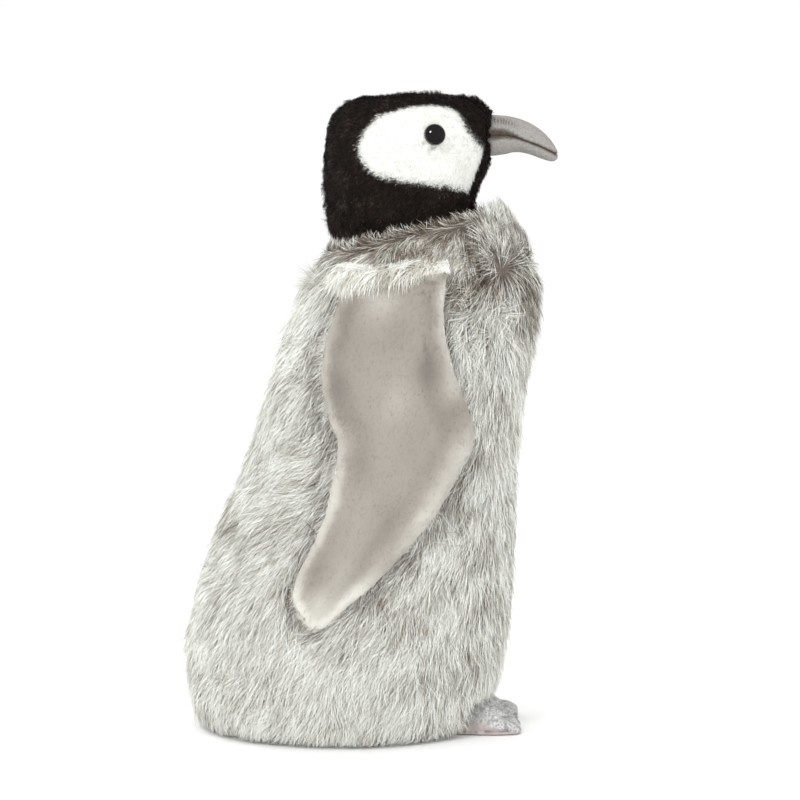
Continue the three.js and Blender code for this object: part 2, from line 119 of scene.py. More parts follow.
def joined_copy(name, nodes):
    """One new mesh of copies of these CAD nodes, with their doubled corners merged."""
    shell = bmesh.new()
    for node in nodes:
        shell.from_mesh(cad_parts[node].data)
    bmesh.ops.remove_doubles(shell, verts=shell.verts, dist=1e-6)
    mesh = bpy.data.meshes.new(name)
    shell.to_mesh(mesh)
    shell.free()
    piece = bpy.data.objects.new(name, mesh)
    bpy.context.collection.objects.link(piece)
    bpy.ops.object.select_all(action="DESELECT")
    piece.select_set(True)
    bpy.context.view_layer.objects.active = piece
    return piece


def keep_outer_skin(piece):
    """Drops the closed pockets inside a remeshed piece, and keeps its largest island."""
    shell = bmesh.new()
    shell.from_mesh(piece.data)
    left, largest = set(shell.verts), set()
    while left:
        island, edge = set(), {next(iter(left))}
        while edge:
            island |= edge
            linked = {link.other_vert(corner) for corner in edge for link in corner.link_edges}
            edge = linked - island
        left -= island
        if len(island) > len(largest):
            largest = island
    inner = [corner for corner in shell.verts if corner not in largest]
    bmesh.ops.delete(shell, geom=inner, context="VERTS")
    shell.to_mesh(piece.data)
    shell.free()


def stuffed(piece, voxel, pressure, cap, smooth=2, frames=20):
    """Remeshes a piece, swells it as stuffed cloth, caps how far a point goes, and rounds it."""
    piece.data.remesh_voxel_size = voxel
    bpy.ops.object.voxel_remesh()
    keep_outer_skin(piece)
    rest = np.empty(len(piece.data.vertices) * 3)
    piece.data.vertices.foreach_get("co", rest)
    if pressure:
        cloth = piece.modifiers.new("swell", "CLOTH")
        cloth.settings.quality = 5
        cloth.settings.mass = 0.25
        cloth.settings.tension_stiffness = 18
        cloth.settings.bending_stiffness = 2
        cloth.settings.use_pressure = True
        cloth.settings.uniform_pressure_force = pressure
        cloth.settings.effector_weights.gravity = 0
        cloth.point_cache.frame_start = 1
        cloth.point_cache.frame_end = frames
        for step in range(1, frames + 1):
            bpy.context.scene.frame_set(step)
        bpy.ops.object.modifier_apply(modifier="swell")
        bpy.context.scene.frame_set(1)
    swollen = np.empty_like(rest)
    piece.data.vertices.foreach_get("co", swollen)
    rest, swollen = rest.reshape(-1, 3), swollen.reshape(-1, 3)
    step = swollen - rest
    reach = np.linalg.norm(step, axis=1, keepdims=True)
    capped = rest + step * np.minimum(1, cap / np.maximum(reach, 1e-9))
    piece.data.vertices.foreach_set("co", capped.ravel())
    if smooth:
        rounding = piece.modifiers.new("rounding", "SMOOTH")
        rounding.factor = 0.5
        rounding.iterations = smooth
        bpy.ops.object.modifier_apply(modifier="rounding")
    bpy.ops.object.shade_smooth()
    piece.data.update()
    return piece


def skin_arrays(skin):
    """A skin's corner places and normals, and its triangles."""
    mesh = skin.data
    mesh.calc_loop_triangles()
    places = np.empty(len(mesh.vertices) * 3)
    normals = np.empty(len(mesh.vertices) * 3)
    triangles = np.empty(len(mesh.loop_triangles) * 3, dtype=np.int64)
    mesh.vertices.foreach_get("co", places)
    mesh.vertices.foreach_get("normal", normals)
    mesh.loop_triangles.foreach_get("vertices", triangles)
    return places.reshape(-1, 3), normals.reshape(-1, 3), triangles.reshape(-1, 3)


def fit_over(piece, node, gap, inset=0.0):
    """Draws a skin in by an inset, but never nearer to a CAD node than a gap, and never into the floor.

    The inset is one number, or one per corner.
    """
    piece.data.update()
    places, normals, _ = skin_arrays(piece)
    inner = bmesh.new()
    inner.from_mesh(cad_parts[node].data)
    tree = BVHTree.FromBMesh(inner)
    inner.free()
    search_reach, floor_gap = 0.012, 0.0002
    places = places - normals * np.reshape(inset, (-1, 1))
    for index, place in enumerate(places):
        near, normal, _, _ = tree.find_nearest(Vector(place), search_reach)
        if near is not None and (Vector(place) - near).dot(normal) < gap:
            places[index] = near + normal * gap
    places[:, 2] = np.maximum(places[:, 2], floor_gap)
    piece.data.vertices.foreach_set("co", places.astype(np.float32).ravel())
    piece.data.update()


panels = ["body_belly_panel", "left_body_side_panel", "right_body_side_panel", "body_back_panel"]
body_shell = joined_copy("body_skin", [*panels, "body_filling"])
body_skin = stuffed(body_shell, voxel=0.004, pressure=2.5, cap=0.0015, smooth=3)
fit_over(body_skin, "body_filling", 0.0015, 0.0015)


def new_cloth(name, roughness, sheen=0.0, sheen_tint=(1, 1, 1, 1), specular=0.25):
    """A material, its nodes and links, and its shader, with no colour pattern yet."""
    cloth = bpy.data.materials.new(name)
    cloth.use_nodes = True
    nodes = cloth.node_tree.nodes
    shader = nodes["Principled BSDF"]
    shader.inputs["Roughness"].default_value = roughness
    shader.inputs["Sheen Weight"].default_value = sheen
    shader.inputs["Sheen Tint"].default_value = sheen_tint
    shader.inputs["Sheen Roughness"].default_value = 0.4
    shader.inputs["Specular IOR Level"].default_value = specular
    return cloth, nodes, cloth.node_tree.links, shader


def ramp_of(nodes, stops):
    """A colour ramp node with these (place, colour) stops."""
    ramp = nodes.new("ShaderNodeValToRGB")
    elements = ramp.color_ramp.elements
    for element, (place, colour) in ((elements[0], stops[0]), (elements[1], stops[-1])):
        element.position, element.color = place, (*colour, 1)
    for place, colour in stops[1:-1]:
        elements.new(place).color = (*colour, 1)
    return ramp


def mottle(nodes, links, scale, detail=3.0, source=None):
    """A noise texture on Object coordinates, or on another vector."""
    noise = nodes.new("ShaderNodeTexNoise")
    noise.inputs["Scale"].default_value = scale
    noise.inputs["Detail"].default_value = detail
    if source is None:
        source = nodes.new("ShaderNodeTexCoord").outputs["Object"]
    links.new(source, noise.inputs["Vector"])
    return noise


backing_cloth, nodes, links, shader = new_cloth("fur_backing", 0.95)
backing_ramp = ramp_of(nodes, [(0.3, (0.10, 0.085, 0.07)), (0.7, (0.24, 0.21, 0.18))])
links.new(mottle(nodes, links, 60).outputs["Fac"], backing_ramp.inputs["Fac"])
links.new(backing_ramp.outputs["Color"], shader.inputs["Base Color"])
body_skin.data.materials.append(backing_cloth)
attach(body_skin, "body")
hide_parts(*panels)


# ---------------------------------------------------------------- Body pile
# Long soft fibres, pale at the tips and brown at the roots, woven into the backing cloth in tufts.
# They are combed back and down from a crown on the chest, and lie flat where a flipper covers them.
dice = np.random.default_rng(11)


def drift(points, size, salt):
    """A smooth random value from 0 to 1 at each point, that changes over about this size."""
    cell = np.floor(points / size).astype(np.int64)
    part = points / size - cell
    part = part * part * (3 - 2 * part)
    total = np.zeros(len(points))
    for corner in range(8):
        step = np.array([corner & 1, corner >> 1 & 1, corner >> 2 & 1])
        at = cell + step
        mixed = (at[:, 0] * 73856093) ^ (at[:, 1] * 19349663)
        mixed = mixed ^ (at[:, 2] * 83492791) ^ (salt * 2654435761)
        mixed = (mixed ^ (mixed >> 13)) * 1274126177 & 0xFFFFFFFF
        mixed = (mixed ^ (mixed >> 16)) & 0xFFFF
        share = np.prod(np.where(step, part, 1 - part), axis=1)
        total += share * mixed / 65535
    return total


def unit(vectors):
    """The same directions, all of length 1."""
    return vectors / np.maximum(np.linalg.norm(vectors, axis=1, keepdims=True), 1e-9)


def ease(value, low, high):
    """0 below low, 1 above high, and smooth between."""
    share = np.clip((value - low) / (high - low), 0, 1)
    return share * share * (3 - 2 * share)


def scatter(places, normals, triangles, weights, count, extra=None):
    """Random roots on a skin: places, normals and a carried value. Weights are per corner."""
    corners = places[triangles]
    spans = np.cross(corners[:, 1] - corners[:, 0], corners[:, 2] - corners[:, 0])
    areas = np.linalg.norm(spans, axis=1)
    chance = areas * weights[triangles].mean(axis=1)
    chosen = triangles[dice.choice(len(triangles), size=count, p=chance / chance.sum())]
    a, b = dice.random(count), dice.random(count)
    over = a + b > 1
    a[over], b[over] = 1 - a[over], 1 - b[over]
    share = np.stack([1 - a - b, a, b], axis=1)[:, :, None]
    roots = (places[chosen] * share).sum(axis=1)
    upright = unit((normals[chosen] * share).sum(axis=1))
    carried = None if extra is None else (extra[chosen] * share[:, :, 0]).sum(axis=1)
    return roots, upright, carried


def grow(
    name, roots, upright, lay, length, width, lift, shade,
    levels=3, clump=0.0035, gather=0.28, rough=0.3, droop=0.0, hidden=0.0,
):
    """A mesh of fibres: each is a thin tapering ribbon that leaves the skin and bends over along it.

    Lay is the way it bends and lift the angle it leaves at. Clump and gather draw it into tufts,
    rough turns it aside, and droop lowers its tip. Hidden is the share of its root that is buried.
    """
    root_depth, floor_gap = 0.0006, 0.0003
    count = len(roots)
    lay = unit(lay - upright * (lay * upright).sum(axis=1, keepdims=True))
    lay = unit(lay + dice.normal(0, rough, (count, 3)))
    lay = unit(lay - upright * (lay * upright).sum(axis=1, keepdims=True))
    cell = np.floor((roots + clump * 0.35 * (drift(roots, clump * 2, 3)[:, None] - 0.5)) / clump)
    middle = (cell + 0.5) * clump
    pull = middle - roots
    pull -= upright * (pull * upright).sum(axis=1, keepdims=True)
    across = np.cross(lay, upright)
    roll = dice.uniform(-1.0, 1.0, count)[:, None]
    side = unit(across * np.cos(roll) + upright * np.sin(roll))
    points = []
    for level in range(levels + 1):
        t = level / levels
        rise = length * (np.sin(lift) * t - 0.55 * np.sin(lift) * t * t)
        along = length * np.cos(lift) * t
        centre = roots - upright * root_depth + lay * along[:, None] + upright * rise[:, None]
        centre += pull * gather * t
        centre[:, 2] = np.maximum(centre[:, 2] - droop * length * t * t, floor_gap)
        if level == levels:
            points.append(centre)
        else:
            half = (width * (1 - 0.55 * t) / 2)[:, None]
            points += [centre - side * half, centre + side * half]
    corners = 2 * levels + 1
    vertices = np.stack(points, axis=1).reshape(-1, 3)
    pattern = []
    for level in range(levels - 1):
        a = 2 * level
        pattern += [(a, a + 1, a + 3), (a, a + 3, a + 2)]
    pattern.append((corners - 3, corners - 2, corners - 1))
    pattern = np.array(pattern)
    faces = (np.arange(count)[:, None, None] * corners + pattern).reshape(-1, 3)
    mesh = bpy.data.meshes.new(name)
    mesh.vertices.add(len(vertices))
    mesh.vertices.foreach_set("co", vertices.astype(np.float32).ravel())
    mesh.loops.add(len(faces) * 3)
    mesh.loops.foreach_set("vertex_index", faces.ravel().astype(np.int32))
    mesh.polygons.add(len(faces))
    mesh.polygons.foreach_set("loop_start", np.arange(0, len(faces) * 3, 3, dtype=np.int32))
    mesh.polygons.foreach_set("use_smooth", np.ones(len(faces), dtype=bool))
    mesh.update(calc_edges=True)
    chart = mesh.uv_layers.new(name="OFBake")
    step = np.array([(level // 2) / levels for level in range(corners)])
    sway = np.array([-1 if level % 2 == 0 else 1 for level in range(corners - 1)] + [0]) * 0.0025
    u = np.clip(shade, 0.01, 0.99)[:, None] + sway[None, :]
    buried = np.broadcast_to(hidden, count)[:, None]
    v = 0.01 + 0.98 * (buried + (1 - buried) * step[None, :])
    uv = np.stack([u, v], axis=2).reshape(-1, 2)[faces.ravel()]
    chart.data.foreach_set("uv", uv.astype(np.float32).ravel())
    piece = bpy.data.objects.new(name, mesh)
    bpy.context.collection.objects.link(piece)
    return piece


def fibre_cloth(name, tips, root_colour, roughness, sheen, root_end=0.6, chart="OFBake"):
    """Fibre material: the chart's u picks a fibre's tint, and v runs from its root to its tip."""
    cloth, nodes, links, shader = new_cloth(name, roughness, sheen)
    lookup = nodes.new("ShaderNodeUVMap")
    lookup.uv_map = chart
    split = nodes.new("ShaderNodeSeparateXYZ")
    links.new(lookup.outputs["UV"], split.inputs["Vector"])
    tint = ramp_of(nodes, tips)
    links.new(split.outputs["X"], tint.inputs["Fac"])
    depth = ramp_of(nodes, [(0.0, (0, 0, 0)), (root_end, (1, 1, 1))])
    links.new(split.outputs["Y"], depth.inputs["Fac"])
    mix = nodes.new("ShaderNodeMix")
    mix.data_type = "RGBA"
    mix.inputs[6].default_value = (*root_colour, 1)
    links.new(depth.outputs["Color"], mix.inputs[0])
    links.new(tint.outputs["Color"], mix.inputs[7])
    links.new(mix.outputs[2], shader.inputs["Base Color"])
    return cloth


grey_fibre = fibre_cloth(
    "grey_fibre",
    [
        (0.0, (0.05, 0.035, 0.025)),
        (0.2, (0.16, 0.12, 0.088)),
        (0.4, (0.36, 0.31, 0.255)),
        (0.58, (0.60, 0.58, 0.51)),
        (0.76, (0.84, 0.85, 0.79)),
        (1.0, (0.96, 0.98, 0.94)),
    ],
    (0.13, 0.10, 0.075),
    0.7,
    0.1,
)

places, normals, triangles = skin_arrays(body_skin)
neck_x, collar_half_x, collar_half_y = 0.0355, 0.0425, 0.0385
beside_neck = np.hypot((places[:, 0] - neck_x) / collar_half_x, places[:, 1] / collar_half_y)
in_bowl = (beside_neck < 1) & (places[:, 2] > 0.235)
foot_spacing, foot_half_width = 0.021, 0.0175
in_foot_room = (places[:, 0] > 0.052) & (places[:, 2] < 0.024)
in_foot_room &= np.abs(np.abs(places[:, 1]) - foot_spacing) < foot_half_width
underneath = (normals[:, 2] < -0.6) & (places[:, 2] < 0.02)
bearing = np.where(in_bowl | in_foot_room | underneath, 0.0, 1.0)

flippers = bmesh.new()
for node in ("left_flipper_inner_panel", "right_flipper_inner_panel"):
    flippers.from_mesh(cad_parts[node].data)
flipper_tree = BVHTree.FromBMesh(flippers)
flippers.free()
covered = np.zeros(len(places))
beside_flipper = np.zeros(len(places))
beside, farthest = 0.004, 0.06
for index in np.nonzero(np.abs(places[:, 1]) > 0.03)[0]:
    place = Vector(places[index])
    outward = Vector((0, math.copysign(1, places[index, 1]), 0))
    if flipper_tree.ray_cast(place, outward, farthest)[0] is not None:
        covered[index] = 1
    for reach in ((beside, 0, 0), (-beside, 0, 0), (0, 0, -beside)):
        if flipper_tree.ray_cast(place + Vector(reach), outward, farthest)[0] is not None:
            beside_flipper[index] = 1

fibre_total = 238000
pile_length, pile_width = 0.0195, 0.00034
roots, upright, under_flipper = scatter(
    places, normals, triangles, bearing * (1 - 0.3 * covered), fibre_total, covered
)
skin_tree = KDTree(len(places))
for index, place in enumerate(places):
    skin_tree.insert(place, index)
skin_tree.balance()
flipper_painted_shade = np.array([beside_flipper[skin_tree.find(root)[1]] for root in roots])
flipper_painted_shade *= 1 - under_flipper

# Where each fibre is: 0 to 1 for the collar, its inner rim, and the tuft at its front.
x, y, z = roots.T
from_neck = unit(np.stack([x - neck_x, y, np.zeros_like(x)], axis=1))
ring = np.hypot((x - neck_x) / collar_half_x, y / collar_half_y)
collar = ease(z, 0.247, 0.270)
inner_rim = (1 - ease(ring, 1.10, 1.22)) * ease(z, 0.24, 0.255)
front_tuft = collar * ease(x, 0.060, 0.080)

# Which way it is combed: down and back, outwards in the collar, and every way in the chest's whorl.
backward = 0.15 + 1.0 * (1 - ease(x, -0.06, 0.07))
backward += 1.1 * ease(z, 0.15, 0.24) * (1 - ease(x, -0.03, 0.05))
backward *= 0.35 + 0.65 * ease(z, 0.0, 0.12)
lay = np.stack([-backward, np.zeros_like(x), -np.ones_like(x)], axis=1)
lay += (from_neck * 0.5 + np.array([-0.35, 0, 0.2])) * collar[:, None]
lay = lay * (1 - front_tuft[:, None]) + np.array([0.35, 0, 0.6]) * front_tuft[:, None]
inward = (inner_rim * (1 - 0.8 * front_tuft))[:, None]
lay = lay * (1 - inward) - from_neck * inward
tangle = np.zeros_like(x)
crowns = ((0.083, 0.252, 0.030), (0.066, 0.238, 0.022), (0.090, 0.226, 0.020))
for crown_x, crown_z, crown_size in crowns:
    swirl = np.stack([x - crown_x, np.zeros_like(x), z - crown_z], axis=1)
    near = 1 - ease(np.linalg.norm(swirl, axis=1), 0.3 * crown_size, crown_size)
    near *= ease(x, 0.04, 0.06)
    lay = lay * (1 - 0.30 * near[:, None]) + unit(swirl) * 0.30 * near[:, None]
    tangle = np.maximum(tangle, near)
wander = np.stack([drift(roots, 0.018, s) - 0.5 for s in (5, 6, 7)], axis=1)
tufts = np.stack([drift(roots, 0.006, s) - 0.5 for s in (15, 16, 17)], axis=1)
lay = unit(lay) + wander * (0.9 + 1.2 * tangle[:, None]) + tufts * (0.6 + 1.7 * tangle[:, None])

# How long it is, how high it stands, and how thick it is.
stray = dice.random(fibre_total) < 0.11
length = pile_length * (0.7 + 0.6 * dice.random(fibre_total))
length *= 1 - 0.25 * collar - 0.25 * (1 - ease(z, 0.0, 0.03)) - 0.3 * inner_rim
length *= 1 - 0.25 * under_flipper
over_feet = ease(x, 0.045, 0.06) * (1 - ease(z, 0.02, 0.045)) * (1 - ease(np.abs(y), 0.040, 0.052))
length *= 1 - 0.45 * over_feet
lift = np.radians(9 + 13 * dice.random(fibre_total) + 10 * drift(roots, 0.012, 8))
lift *= 1 - 0.45 * collar
lift += np.radians(18 * front_tuft + 6 * tangle + 34 * inner_rim + 18 * stray)
lift *= 1 - 0.7 * under_flipper
width = pile_width * (0.7 + 0.6 * dice.random(fibre_total))

# How pale its tip is: patches and streaks, a brown collar and whorl, some dark fibres everywhere,
# painted shade beside the flippers, and painted light on the upper back and the collar's front tuft.
patchy = 0.16 * drift(roots, 0.03, 21) + 0.36 * drift(roots, 0.009, 22)
patchy += 0.16 * drift(roots, 0.004, 23)
patchy += 0.32 * drift(roots * np.array([1, 1, 0.3]), 0.0035, 24)
shade = 0.92 + 1.45 * (patchy - 0.5) + dice.normal(0, 0.19, fibre_total)
behind = 1 - ease(x, -0.01, 0.03)
shade -= 0.40 * ease(z, 0.222 + 0.018 * behind, 0.272 + 0.004 * behind)
# Painted shade: fibres just beside a flipper are darker, where the flipper shades them.
shade -= 0.10 * tangle + 0.05 * flipper_painted_shade
# Painted light: the upper back is paler, standing in for the light that falls on it.
shade += 0.14 * ease(z, 0.15, 0.20) * (1 - ease(x, -0.015, 0.02)) * (1 - under_flipper)
# Painted light: the collar's front tuft is paler, standing in for the light behind its edge.
shade += 0.16 * front_tuft
dark_fibre = dice.random(fibre_total) < 0.23
shade = np.where(dark_fibre, shade - 0.40, shade)

angle = np.degrees(np.arctan2(y, x - 0.01))
low = z < 0.115
regions = {
    "belly_pile": (np.abs(angle) < 48),
    "back_pile": (np.abs(angle) > 138),
    "left_upper_pile": (angle >= 48) & (angle <= 138) & ~low,
    "left_lower_pile": (angle >= 48) & (angle <= 138) & low,
    "right_upper_pile": (angle <= -48) & (angle >= -138) & ~low,
    "right_lower_pile": (angle <= -48) & (angle >= -138) & low,
}
most_in_a_piece = 39500
for name, inside in regions.items():
    shares = max(1, math.ceil(inside.sum() / most_in_a_piece))
    for part, chosen in enumerate(np.array_split(np.nonzero(inside)[0], shares)):
        pile = grow(
            f"{name}_{part}", roots[chosen], upright[chosen], lay[chosen],
            length[chosen], width[chosen], lift[chosen], shade[chosen],
        )
        pile.data.materials.append(grey_fibre)
        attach(pile, "body")


# ---------------------------------------------------------------- Shoulder fringe
# Above each flipper the pile stands out from the shoulder and falls over the flipper's root.
# Some of it is rooted in the body's cloth, and the rest is caught in the seam itself.
shoulder = (np.abs(places[:, 1]) > 0.045) & (places[:, 2] > 0.2585) & (places[:, 2] < 0.278)
shoulder &= (places[:, 0] > -0.014) & (places[:, 0] < 0.066)
cloth_rooted, seam_rooted = 17000, 5500
on_cloth, cloth_upright, _ = scatter(places, normals, triangles, shoulder.astype(float), cloth_rooted)
seam_low, seam_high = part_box("left_flipper_outer_panel")
hinge_y = seam_low[1]
for side, sign in (("left", 1), ("right", -1)):
    chosen = on_cloth[:, 1] * sign > 0
    across = dice.uniform(-0.006, 0.054, seam_rooted)
    taper = ease(across, -0.012, 0.008) * (1 - ease(across, 0.036, 0.056))
    out = dice.uniform(-0.005, 0.0005 + 0.003 * taper, seam_rooted)
    seam_z = seam_high[2] - 0.0016 * (1 - ease(across, 0.004, 0.046))
    seam_z = seam_z + 0.55 * np.maximum(-out, 0)
    in_seam = np.stack([across, sign * (hinge_y + out), seam_z], axis=1)
    in_seam[:, 2] += 0.0045 * (drift(in_seam, 0.008, 63) - 0.3) * (out < 0)
    in_seam[:, 2] += dice.uniform(-0.0003, 0.0012, seam_rooted)
    start = np.concatenate([on_cloth[chosen], in_seam])
    seam_upright = np.tile([0, 0.98 * sign, 0.15], (seam_rooted, 1))
    count = len(start)
    in_cloth = np.arange(count) < chosen.sum()
    back = 1 - ease(start[:, 0], 0.022, 0.058)
    sway = -0.35 + 1.1 * (drift(start, 0.007, 61) - 0.5)
    fall = np.stack([sway, np.zeros(count), -np.ones(count)], axis=1)
    longest = np.where(in_cloth, 0.0125 + 0.0075 * back, 0.0045 + 0.0095 * back)
    pile = grow(
        f"{side}_fringe", start, np.concatenate([cloth_upright[chosen], seam_upright]), fall,
        longest * (0.55 + 0.65 * dice.random(count)),
        0.00036 * (0.7 + 0.6 * dice.random(count)),
        np.radians(np.where(in_cloth, 33, 16) + 20 * dice.random(count)),
        0.76 - 0.24 * ease(start[:, 2], 0.259, 0.274) + 0.8 * (drift(start, 0.005, 62) - 0.5)
        + dice.normal(0, 0.18, count),
        droop=np.where(in_cloth, 0.12, 0.15), hidden=np.where(in_cloth, 0.2, 0.5),
    )
    pile.data.materials.append(grey_fibre)
    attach(pile, "body")


# ---------------------------------------------------------------- Head
# Short brown-black plush over the stuffed head, with a white plush patch let into each cheek.
# Both are brushed back from the beak, so the white meets the black in a soft edge.
hood_nodes = ["head_gusset", "left_hood_side", "right_hood_side"]
cheek_nodes = ["left_cheek_patch", "right_cheek_patch"]
head_shell = joined_copy("hood_skin", [*hood_nodes, *cheek_nodes, "head_filling"])
head_skin = stuffed(head_shell, voxel=0.0022, pressure=2.0, cap=0.001, smooth=2)

cheeks = bmesh.new()
for node in cheek_nodes:
    cheeks.from_mesh(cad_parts[node].data)
cheek_tree = BVHTree.FromBMesh(cheeks)
cheeks.free()
hoods = bmesh.new()
for node in hood_nodes:
    hoods.from_mesh(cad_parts[node].data)
hood_tree = BVHTree.FromBMesh(hoods)
hoods.free()


def write_attribute(piece, name, values):
    """Stores one number per corner of a mesh, for a material to read."""
    layer = piece.data.attributes.new(name, "FLOAT", "POINT")
    layer.data.foreach_set("value", values.astype(np.float32))


def attribute_of(nodes, name):
    """A node's output that reads a stored number."""
    reader = nodes.new("ShaderNodeAttribute")
    reader.attribute_name = name
    return reader.outputs["Fac"]


def layered(nodes, links, share, under, over):
    """Lays one colour, a plain one or an output, over an output's colour by a share."""
    mix = nodes.new("ShaderNodeMix")
    mix.data_type = "RGBA"
    links.new(share, mix.inputs[0])
    for socket, colour in ((mix.inputs[6], under), (mix.inputs[7], over)):
        if isinstance(colour, tuple):
            socket.default_value = (*colour, 1)
        else:
            links.new(colour, socket)
    return mix.outputs[2]


places, normals, triangles = skin_arrays(head_skin)
eye_low, eye_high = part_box("right_eye")
eye_middle = np.array([(eye_low[0] + eye_high[0]) / 2, 0, (eye_low[2] + eye_high[2]) / 2])
from_eye = np.hypot(places[:, 0] - eye_middle[0], places[:, 2] - eye_middle[2])
from_eye += 0.1 * (np.abs(places[:, 1]) < 0.018)
fit_over(head_skin, "head_filling", 0.0006, 0.0008 + 0.0014 * ease(from_eye, 0.006, 0.014))

head_cloth, nodes, links, shader = new_cloth("head_backing", 0.95)
hood_ramp = ramp_of(nodes, [(0.3, (0.010, 0.007, 0.005)), (0.7, (0.026, 0.019, 0.014))])
links.new(mottle(nodes, links, 90).outputs["Fac"], hood_ramp.inputs["Fac"])
cheek_ramp = ramp_of(nodes, [(0.3, (0.74, 0.74, 0.70)), (0.7, (0.83, 0.83, 0.79))])
links.new(mottle(nodes, links, 90).outputs["Fac"], cheek_ramp.inputs["Fac"])
white = attribute_of(nodes, "white")
dyed = layered(nodes, links, white, hood_ramp.outputs["Color"], cheek_ramp.outputs["Color"])
links.new(dyed, shader.inputs["Base Color"])
head_skin.data.materials.append(head_cloth)
places, normals, triangles = skin_arrays(head_skin)


def toward_white(points):
    """How many metres nearer each point is to a cheek patch than to the hood."""
    to_hood = np.array([hood_tree.find_nearest(Vector(point))[3] for point in points])
    to_cheek = np.array([cheek_tree.find_nearest(Vector(point))[3] for point in points])
    return to_hood - to_cheek


colour_blend = 0.0012
write_attribute(head_skin, "white", np.clip(0.5 + toward_white(places) / colour_blend, 0, 1))
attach(head_skin, "head")
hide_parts(*hood_nodes, *cheek_nodes)

black_fibre = fibre_cloth(
    "black_fibre",
    [
        (0.0, (0.005, 0.003, 0.002)),
        (0.5, (0.017, 0.011, 0.008)),
        (0.8, (0.046, 0.031, 0.024)),
        (1.0, (0.13, 0.092, 0.075)),
    ],
    (0.004, 0.003, 0.002),
    0.65,
    0.03,
)
white_fibre = fibre_cloth(
    "white_fibre",
    [(0.0, (0.75, 0.76, 0.72)), (0.5, (0.85, 0.86, 0.83)), (1.0, (0.93, 0.94, 0.92))],
    (0.74, 0.745, 0.71),
    0.7,
    0.1,
)

outside = ~((normals[:, 2] < -0.8) & (places[:, 2] < 0.285)) & (places[:, 2] > 0.262)
by_beak = (places[:, 0] > 0.074) & (np.abs(places[:, 1]) < 0.0095)
by_beak &= (places[:, 2] > 0.3165) & (places[:, 2] < 0.3385)
bearing = np.where(outside & ~by_beak & (from_eye > 0.0050), 1.0, 0.0)
bearing *= 1 + 2.0 * (places[:, 0] < 0.010) * (places[:, 2] < 0.290)


def comb_head(roots):
    """The head's pile runs back from the beak, over the crown and down the nape and throat."""
    x, y, z = roots.T
    back = ease(x, -0.02, 0.01)
    down = -0.9 + 0.75 * back * ease(z, 0.30, 0.335)
    flow = np.stack([-0.35 - 0.8 * back, np.zeros_like(x), down], axis=1)
    wander = np.stack([drift(roots, 0.009, s) - 0.5 for s in (31, 32, 33)], axis=1)
    return unit(flow) + wander * 1.8


head_fibres = 80000
head_roots, head_upright, _ = scatter(places, normals, triangles, bearing, head_fibres)
in_white = toward_white(head_roots) + colour_blend * (drift(head_roots, 0.002, 36) - 0.5) > 0
roots, upright = head_roots[~in_white], head_upright[~in_white]
count = len(roots)
fluff = drift(roots, 0.006, 34)
tuft = ease(drift(roots, 0.0045, 35), 0.55, 0.8)
nape = (1 - ease(roots[:, 0], -0.004, 0.010)) * (1 - ease(roots[:, 2], 0.280, 0.298))
by_root = ease(roots[:, 0], 0.066, 0.074)
longer = (0.75 + 0.5 * fluff) * (1 + 0.45 * tuft + 2.3 * nape + 0.25 * by_root)
pile = grow(
    "hood_pile", roots, upright,
    comb_head(roots) * (1 - nape[:, None]) + np.array([0, 0, -1]) * nape[:, None],
    0.0046 * (0.7 + 0.6 * dice.random(count)) * longer,
    0.00034 * (0.8 + 0.4 * dice.random(count)),
    np.radians(30 + 26 * dice.random(count) + (26 * tuft + 14 * fluff) * (1 - nape)),
    0.42 + 0.5 * (fluff - 0.5) + 0.22 * tuft + dice.normal(0, 0.16, count),
    levels=2, clump=0.0026, gather=0.55, rough=0.5,
)
pile.data.materials.append(black_fibre)
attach(pile, "head")

roots, upright = head_roots[in_white], head_upright[in_white]
for name, chosen in (("left_cheek_pile", roots[:, 1] > 0), ("right_cheek_pile", roots[:, 1] <= 0)):
    some = int(chosen.sum())
    fluff = drift(roots[chosen], 0.006, 41)
    pile = grow(
        name, roots[chosen], upright[chosen], comb_head(roots[chosen]),
        0.0034 * (0.7 + 0.6 * dice.random(some)),
        0.00034 * (0.8 + 0.4 * dice.random(some)),
        np.radians(28 + 24 * dice.random(some)),
        0.62 + 0.5 * (fluff - 0.5) + dice.normal(0, 0.15, some),
        levels=2, clump=0.0026, gather=0.4, rough=0.45,
    )
    pile.data.materials.append(white_fibre)
    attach(pile, "head")


# ---------------------------------------------------------------- Eyes
# Each eye is a glossy domed button of black plastic on a shank, pressed through the cheek.
eye_black, nodes, links, shader = new_cloth("eye_black", 0.09, specular=0.5)
shader.inputs["IOR"].default_value = 1.9
eye_ramp = ramp_of(nodes, [(0.35, (0.003, 0.002, 0.002)), (0.75, (0.008, 0.005, 0.004))])
links.new(mottle(nodes, links, 220).outputs["Fac"], eye_ramp.inputs["Fac"])
links.new(eye_ramp.outputs["Color"], shader.inputs["Base Color"])
for side in ("left", "right"):
    dome = joined_copy(f"{side}_eye_dome", [f"{side}_eye"])
    bevel = dome.modifiers.new("rim", "BEVEL")
    bevel.width = 0.0003
    bevel.segments = 2
    bevel.limit_method = "ANGLE"
    bevel.angle_limit = math.radians(40)
    bpy.ops.object.modifier_apply(modifier="rim")
    bpy.ops.object.shade_smooth_by_angle(angle=math.radians(50))
    dome.data.materials.append(eye_black)
    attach(dome, "head")
    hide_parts(f"{side}_eye")


